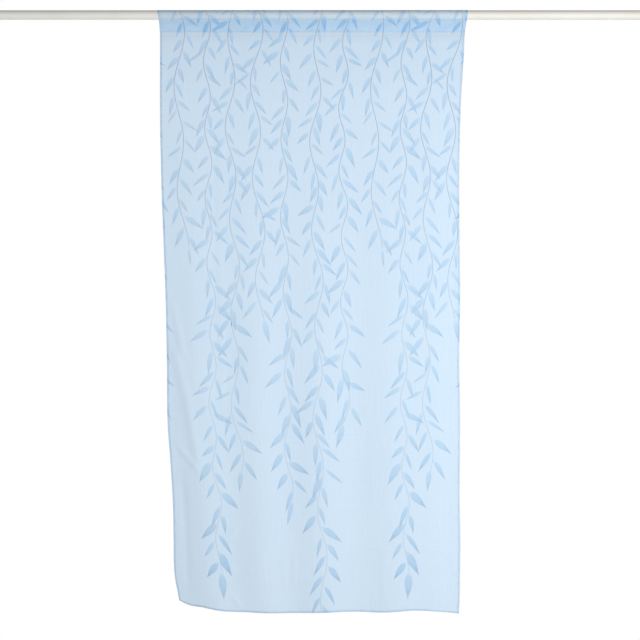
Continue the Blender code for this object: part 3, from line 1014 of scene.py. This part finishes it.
def print_outlines(mesh):
    """The print's outlines on the whole cloth. Each leaf keeps the way from the cloth back to its own
    unit shape, and a stem has none."""
    points = np.array([v.co.xy for v in mesh.vertices])
    slot_of = np.full(len(points), -1)
    for face in mesh.polygons:
        slot_of[list(face.vertices)] = face.material_index
    leaf_slot = list(mesh.materials).index(leaf_ink)
    leaf_rows = np.flatnonzero(slot_of == leaf_slot).reshape(-1, 3 * (LEAF_STATIONS + 1))
    stem_rows = np.flatnonzero(slot_of != leaf_slot)
    shape_of, tone_of = values_of(mesh, "leaf_shape"), values_of(mesh, "leaf_tone")
    ring = [3 * i for i in range(LEAF_STATIONS + 1)] + [3 * i + 2 for i in range(LEAF_STATIONS - 1, -1, -1)]

    # The stalk's end, the tip and a point on the left edge say where a leaf lies and how it is turned
    marks = [1, -2, 3 * LEAF_STATIONS // 2]
    outlines = []
    for copy in (-1, 0, 1):
        shift = np.array([copy * PRINT_REPEAT, 0.0])
        for rows in leaf_rows:
            shape = LEAF_SHAPES[shape_of[rows[0]]]
            own = np.array(leaf_points(shape))[:, :2]
            placed = points[rows] + shift
            to_own = np.linalg.solve(np.column_stack([placed[marks], np.ones(3)]), own[marks])
            outlines.append(Outline(placed[ring], to_own, shape, tone_of[rows[0]]))
        first = 0
        for stem in STEMS:
            count = 2 * (stem_points(stem) + 1)
            rows = stem_rows[first:first + count]
            strip = np.concatenate([points[rows[::2]], points[rows[::-2]]])
            outlines.append(Outline(strip + shift, None, None, 0))
            first += count
    return [
        o for o in outlines
        if o.points[:, 0].max() > -CUT_SIDE and o.points[:, 0].min() < CLOTH_WIDTH + CUT_SIDE
    ]


def runs_left(ring):
    """Whether an outline runs round its inside anticlockwise."""
    x, y = ring.T
    return np.dot(x, np.roll(y, -1)) > np.dot(y, np.roll(x, -1))


def cut_cloth(outlines):
    """Triangles of the flat cloth, cut along the print's outlines, with the outlines that each lies in."""
    across, down = grid_lines()
    columns, rows = len(across), len(down)
    points = [Vector((a, -d)) for d in down for a in across]
    edges = []
    for c, a in enumerate(across):
        if a <= 0 or a >= CLOTH_WIDTH:
            edges += [(r * columns + c, (r + 1) * columns + c) for r in range(rows - 1)]
    for r, d in enumerate(down):
        if d < SAME_POINT or d >= SEAM_TO_FOOT:
            edges += [(r * columns + c, r * columns + c + 1) for c in range(columns - 1)]
    faces = []
    for outline in outlines:
        ring = outline.points if runs_left(outline.points) else outline.points[::-1]
        faces.append(list(range(len(points), len(points) + len(ring))))
        points += [Vector(p) for p in ring.tolist()]
    result = delaunay_2d_cdt(points, edges, faces, 0, SAME_POINT, True)
    flat = np.array([(p.x, -p.y) for p in result[0]])
    kept, under = [], []
    for triangle, sources in zip(result[2], result[5]):
        a, d = flat[list(triangle)].mean(axis=0)
        if -CUT_SIDE < a < CLOTH_WIDTH + CUT_SIDE and CUT_TOP < d < CUT_FOOT:
            kept.append(triangle)
            under.append(sources)
    used = np.unique(np.array(kept))
    renumbered = np.full(len(flat), -1)
    renumbered[used] = np.arange(len(used))
    return flat[used], renumbered[np.array(kept)], under


def values_of(mesh, name):
    layer = mesh.attributes[name]
    values = np.zeros(len(layer.data), dtype=np.int32 if layer.data_type == "INT" else np.float32)
    layer.data.foreach_get("value", values)
    return values


def place_in_leaf(outline, flat_points):
    """How far along a leaf each point lies, and how far across it, from -1 to 1."""
    signed = np.column_stack([flat_points[:, 0], -flat_points[:, 1], np.ones(len(flat_points))])
    own = signed @ outline.to_own
    along = np.clip(-own[:, 1], 0.0, 1.0)
    half = np.array([leaf_half_width(t) for t in along]) * LEAF_WIDTH_SHARE / 2 * outline.shape.fullness
    across = (own[:, 0] + outline.shape.curve * along**2) / np.maximum(half, 1e-4)
    return np.column_stack([along, np.clip(across, -1.0, 1.0)])


def build_panel():
    """The hung panel as one open sheet, with its print as materials of its own."""
    outlines = print_outlines(printed_stems())
    flat, triangles, under = cut_cloth(outlines)
    hung = hang_cloth(flat[:, 0], flat[:, 1])
    mesh = bpy.data.meshes.new("curtain_cloth")
    mesh.from_pydata(np.column_stack(hung).tolist(), [], triangles.tolist())
    finishes = [voile, leaf_ink, stem_ink]
    for finish in finishes:
        mesh.materials.append(finish)
    slots = np.zeros(len(triangles), dtype=np.int32)
    tones = np.zeros(len(triangles), dtype=np.float32)
    overprint = np.zeros(len(triangles), dtype=np.float32)
    leaf_place = np.zeros((len(triangles), 3, 2), dtype=np.float32)
    for t, sources in enumerate(under):
        leaves = [outlines[i] for i in sources if outlines[i].shape]
        if len(leaves) < len(sources):
            slots[t] = finishes.index(stem_ink)
        elif leaves:
            slots[t] = finishes.index(leaf_ink)
            leaf_place[t] = place_in_leaf(leaves[0], flat[triangles[t]])
            tones[t] = leaves[0].tone
            overprint[t] = len(leaves) > 1
    mesh.polygons.foreach_set("material_index", slots)
    flat_map = mesh.uv_layers.new(name=UV_FLAT)
    flat_map.data.foreach_set("uv", (flat[triangles] * (1.0, -1.0)).ravel())
    mesh.uv_layers.new(name=UV_LEAF).data.foreach_set("uv", leaf_place.ravel())
    mesh.attributes.new("leaf_tone", "FLOAT", "FACE").data.foreach_set("value", tones)
    mesh.attributes.new("overprint", "FLOAT", "FACE").data.foreach_set("value", overprint)
    mesh.shade_smooth()
    mesh.set_sharp_from_angle(angle=SHARP_FOLD)
    made = bpy.data.objects.new("curtain_cloth", mesh)
    bpy.context.scene.collection.objects.link(made)
    return made


panel = build_panel()


# The sewing thread
# Fine polyester thread in the cloth's colour, in straight lockstitch. One row closes the pocket and one
# holds each hem, 1.5 mm inside its turned edge, and each row shows on both faces.

STITCH_PITCH = 0.0032
STITCH_LENGTH = 0.0026
STITCH_STRETCH = (0.9, 1.1)
THREAD_RADIUS = 0.00013
PLY_DEPTH = 0.00005
STITCH_INSET = 0.0015
ROW_STEP = 0.006
SEWING_THREAD = "B4D3EC"

# Along a stitch, in shares of its length: how thick the thread is
STITCH_SHAPE = ((-0.5, 0.45), (-0.3, 1.0), (0.3, 1.0), (0.5, 0.45))
STITCH_SIDES = 4


def stitch_mesh():
    """One stitch along X: a four-sided bar that thins where it dives into the cloth."""
    bm = bmesh.new()
    rings = []
    for place, size in STITCH_SHAPE:
        ring = []
        for k in range(STITCH_SIDES):
            angle = 2 * math.pi / STITCH_SIDES * k
            ring.append(bm.verts.new((
                place * STITCH_LENGTH,
                math.cos(angle) * THREAD_RADIUS * size,
                math.sin(angle) * THREAD_RADIUS * size,
            )))
        rings.append(ring)
    for first, second in zip(rings, rings[1:]):
        for k in range(STITCH_SIDES):
            after = (k + 1) % STITCH_SIDES
            bm.faces.new((first[k], second[k], second[after], first[after]))
    bm.faces.new(rings[0])
    bm.faces.new(reversed(rings[-1]))
    bmesh.ops.recalc_face_normals(bm, faces=bm.faces)
    mesh = bpy.data.meshes.new("stitch")
    bm.to_mesh(mesh)
    bm.free()
    mesh.shade_smooth()
    return mesh


def stitch_rows():
    """Each row's line on the flat cloth, from one end to the other."""
    top, foot = -pocket_round + 2 * STITCH_INSET, SEAM_TO_FOOT - 2 * STITCH_INSET
    rows = []
    for face in (1, -1):
        inside = face * (SIDE_HEM - STITCH_INSET)
        for place in (inside, CLOTH_WIDTH - inside):
            rows.append(((place, top), (place, foot)))
        low = SEAM_TO_FOOT - face * (FOOT_HEM - STITCH_INSET)
        rows.append(((2 * STITCH_INSET, low), (CLOTH_WIDTH - 2 * STITCH_INSET, low)))
    for level in (-STITCH_INSET, -pocket_round + STITCH_INSET):
        rows.append(((2 * STITCH_INSET, level), (CLOTH_WIDTH - 2 * STITCH_INSET, level)))
    return rows


def stitch_lines():
    """The rows as lines in space, lying on the hung cloth."""
    curve = bpy.data.curves.new("stitch_lines", "CURVE")
    curve.dimensions = "3D"
    for (a0, d0), (a1, d1) in stitch_rows():
        count = round(math.hypot(a1 - a0, d1 - d0) / ROW_STEP)
        t = np.linspace(0.0, 1.0, count + 1)
        place = hang_cloth(a0 + (a1 - a0) * t, d0 + (d1 - d0) * t, lift=THREAD_RADIUS)
        spline = curve.splines.new("POLY")
        spline.points.add(count)
        for point, x, y, z in zip(spline.points, *place):
            point.co = (x, y, z, 1.0)
    return curve


def stitches_tree():
    """One stitch after another along each row."""
    tree = bpy.data.node_groups.new("lockstitch", "GeometryNodeTree")
    add_socket(tree, "Rows", "NodeSocketGeometry")
    add_socket(tree, "Stitch pitch", "NodeSocketFloat")
    add_socket(tree, "Stitch", "NodeSocketObject")
    add_socket(tree, "Thread", "NodeSocketMaterial")
    add_socket(tree, "Stitches", "NodeSocketGeometry", "OUTPUT")
    given = add_node(tree, "NodeGroupInput").outputs
    spaced = add_node(tree, "GeometryNodeResampleCurve", {
        "Curve": given["Rows"], "Length": given["Stitch pitch"],
    }, mode="LENGTH")
    length = add_node(tree, "FunctionNodeRandomValue", {
        2: STITCH_STRETCH[0], 3: STITCH_STRETCH[1], "Seed": 5,
    })
    placed = add_node(tree, "GeometryNodeInstanceOnPoints", {
        "Points": spaced,
        "Instance": add_node(tree, "GeometryNodeObjectInfo", {"Object": given["Stitch"]}).outputs["Geometry"],
        "Rotation": add_node(tree, "FunctionNodeAlignRotationToVector", {
            "Vector": add_node(tree, "GeometryNodeInputTangent"),
        }, axis="X"),
        "Scale": add_node(tree, "ShaderNodeCombineXYZ", {"X": length, "Y": 1.0, "Z": 1.0}),
    })
    real = add_node(tree, "GeometryNodeRealizeInstances", {"Geometry": placed})
    finished = add_node(tree, "GeometryNodeSetMaterial", {"Geometry": real, "Material": given["Thread"]})
    add_node(tree, "NodeGroupOutput", {"Stitches": finished})
    return tree


def thread_finish():
    """Spun polyester thread: matt, with the twist of its plies as fine uneven stripes."""
    finish = new_finish("spun_polyester_thread")
    tree = finish.node_tree
    place = add_node(tree, "ShaderNodeTexCoord").outputs["Object"]
    plies = add_node(tree, "ShaderNodeTexNoise", {
        "Vector": place, "Scale": 1 / THREAD_RADIUS, "Detail": 1.0,
    })
    share = add_node(tree, "ShaderNodeMapRange", {0: plies, 1: 0.35, 2: 0.65})
    colour = add_node(tree, "ShaderNodeMix", {0: share, 6: SEWING_THREAD, 7: THREAD}, data_type="RGBA")
    shader = add_node(tree, "ShaderNodeBsdfPrincipled", {
        "Base Color": colour,
        "Roughness": 0.7,
        "Normal": add_node(tree, "ShaderNodeBump", {"Height": plies, "Distance": PLY_DEPTH}),
        "Sheen Weight": 0.2,
    })
    add_node(tree, "ShaderNodeOutputMaterial", {"Surface": shader})
    return finish


def build_stitches():
    host = bpy.data.objects.new("stitch_lines", stitch_lines())
    bpy.context.scene.collection.objects.link(host)
    stitch = bpy.data.objects.new("stitch", stitch_mesh())
    bpy.context.scene.collection.objects.link(stitch)
    mesh = tree_result(host, stitches_tree(), {
        "Stitch pitch": STITCH_PITCH, "Stitch": stitch, "Thread": thread_finish(),
    })
    bpy.data.objects.remove(host)
    bpy.data.objects.remove(stitch)
    mesh.name = "sewing_thread"
    made = bpy.data.objects.new("sewing_thread", mesh)
    bpy.context.scene.collection.objects.link(made)
    return made


thread = build_stitches()

for piece in (panel, thread):
    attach(piece, "root")
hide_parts("curtain_panel")

# Voile scatters light onwards, so what lies behind it is lit almost as brightly as it is itself
panel.visible_shadow = False


# The studio
# A pale floor well below the curtain, a large soft light at the front on the right, a little warm, and a
# weaker one on the left, in cooler surroundings that are darker overhead. The camera looks straight on.

FLOOR_DROP = 2.40
FLOOR_RADIUS = 2.0
FLOOR_SIDES = 96
FLOOR_CLOUD = 0.5
FLOOR_COLOUR = "E9E9E7"
CAMERA_AWAY = 6.0
IMAGE_CENTRE_DROP = 0.985
VIEW_WIDTH = 2.067
SENSOR = 36.0
SURROUND_BELOW = 0.70
SURROUND_ABOVE = 0.25
WARM_LIGHT = "FFF9F5"
COOL_LIGHT = "F7FBFF"
WHITE = "FFFFFF"

# The square soft lights: where each stands and what it faces, its side, its watts and its colour
Lamp = namedtuple("Lamp", "name place aim side power colour")
LAMPS = [
    Lamp("key", place=(1.3, -2.6, -1.07), aim=(0.0, 0.0, -1.07), side=1.6, power=62.0, colour=WARM_LIGHT),
    Lamp("fill", place=(-3.0, -3.2, -0.8), aim=(0.0, 0.0, -1.0), side=2.4, power=8.2, colour=COOL_LIGHT),
]


def build_floor():
    bm = bmesh.new()
    bmesh.ops.create_circle(bm, cap_ends=True, segments=FLOOR_SIDES, radius=FLOOR_RADIUS)
    bmesh.ops.translate(bm, verts=bm.verts, vec=(0.0, 0.0, -FLOOR_DROP))
    mesh = bpy.data.meshes.new("floor")
    bm.to_mesh(mesh)
    bm.free()
    finish = new_finish("matt_floor_paint")
    tree = finish.node_tree
    place = add_node(tree, "ShaderNodeTexCoord").outputs["Object"]
    cloud = add_node(tree, "ShaderNodeTexNoise", {"Vector": place, "Scale": 1 / FLOOR_CLOUD})
    shader = add_node(tree, "ShaderNodeBsdfPrincipled", {
        "Base Color": FLOOR_COLOUR,
        "Roughness": add_node(tree, "ShaderNodeMapRange", {0: cloud, 3: 0.8, 4: 0.9}),
    })
    add_node(tree, "ShaderNodeOutputMaterial", {"Surface": shader})
    mesh.materials.append(finish)
    floor = bpy.data.objects.new("floor", mesh)
    bpy.context.scene.collection.objects.link(floor)


def add_light(lamp):
    data = bpy.data.lights.new(lamp.name, "AREA")
    data.size = lamp.side
    data.energy = lamp.power
    data.color = linear(lamp.colour)[:3]
    light = bpy.data.objects.new(lamp.name, data)
    light.location = lamp.place
    light.rotation_euler = (Vector(lamp.aim) - Vector(lamp.place)).to_track_quat("-Z", "Y").to_euler()
    light.visible_camera = False
    bpy.context.scene.collection.objects.link(light)


def build_surroundings():
    """White behind the curtain as the camera sees it, and a softer light that is darker overhead."""
    world = bpy.data.worlds.new("studio")
    world.use_nodes = True
    tree = world.node_tree
    tree.nodes.clear()
    way = add_node(tree, "ShaderNodeTexCoord").outputs["Generated"]
    up = add_node(tree, "ShaderNodeSeparateXYZ", {"Vector": way}).outputs["Z"]
    glow = add_node(tree, "ShaderNodeMapRange", {
        0: up, 1: -0.6, 2: 0.8, 3: SURROUND_BELOW, 4: SURROUND_ABOVE,
    })
    seen = add_node(tree, "ShaderNodeBackground", {"Color": WHITE})
    lit = add_node(tree, "ShaderNodeBackground", {"Color": COOL_LIGHT, "Strength": glow})
    by_camera = add_node(tree, "ShaderNodeLightPath").outputs["Is Camera Ray"]
    either = add_node(tree, "ShaderNodeMixShader", {0: by_camera, 1: lit, 2: seen})
    add_node(tree, "ShaderNodeOutputWorld", {"Surface": either})
    bpy.context.scene.world = world


build_floor()
build_surroundings()
for lamp in LAMPS:
    add_light(lamp)
camera = bpy.data.objects.new("camera", bpy.data.cameras.new("camera"))
camera.data.sensor_width = SENSOR
camera.data.lens = SENSOR * CAMERA_AWAY / VIEW_WIDTH
camera.location = (0.0, -CAMERA_AWAY, -IMAGE_CENTRE_DROP)
camera.rotation_euler = (math.pi / 2, 0.0, 0.0)
bpy.context.scene.collection.objects.link(camera)
bpy.context.scene.camera = camera
bpy.context.scene.view_settings.view_transform = "Standard"
